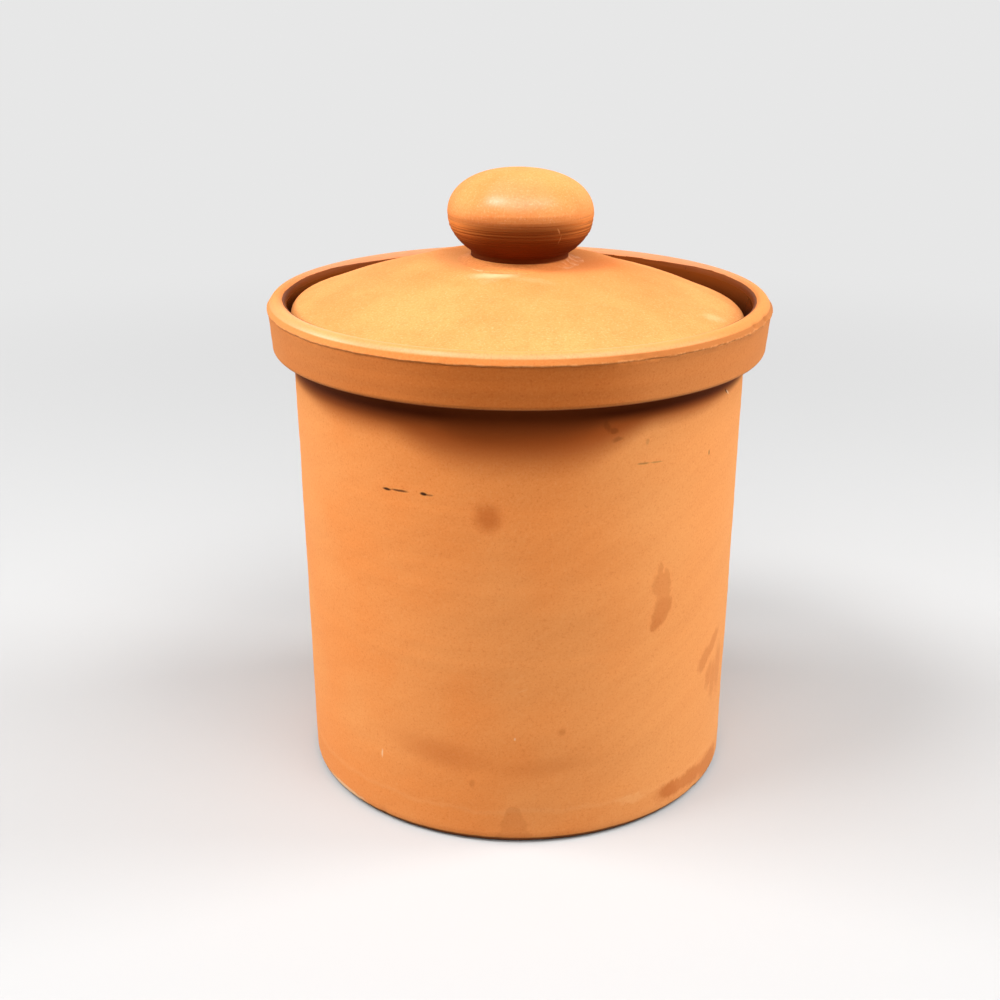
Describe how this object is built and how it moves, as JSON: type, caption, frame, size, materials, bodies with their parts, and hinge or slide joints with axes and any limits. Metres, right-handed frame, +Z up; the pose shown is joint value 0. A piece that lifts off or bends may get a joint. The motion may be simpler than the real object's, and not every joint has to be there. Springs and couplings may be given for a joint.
{
  "type": "biscuit canister",
  "caption": "Nearly straight-sided terracotta canister with a heavy collar and glazed inside, closed by a low conical lid with a bun-shaped knob on a soft finned seal.",
  "frame": {"origin": "centre of the base, on the surface that the jar stands on", "axes": "+Z up along the jar's axis, -Y towards the viewer of the picture"},
  "size_m": [0.1692, 0.1692, 0.2093],
  "materials": {
    "terracotta": "bare fired clay, matt, with scuffs and water stains",
    "lid_terracotta": "bare fired clay, matt, with turning lines",
    "slip": "bare fired slip, slightly smoother than the clay",
    "brown_glaze": "glossy brown glaze",
    "seal": "soft translucent off-white moulding"
  },
  "bodies": {
    "jar": {"jar_body": "terracotta", "inner_glaze": "brown_glaze"},
    "seal": {"seal_ring": "seal"},
    "lid": {"lid": "lid_terracotta", "knob": "lid_terracotta", "luting_slip": "slip"}
  },
  "joints": [
    {"name": "lid_lift", "type": "slide", "parent": "jar", "child": "seal", "axis": [0, 0, 1], "range_m": [0, 0.16]},
    {"name": "lid_turn", "type": "hinge", "parent": "seal", "child": "lid", "pos_m": [0, 0, 0.1584], "axis": [0, 0, 1], "continuous": true}
  ]
}
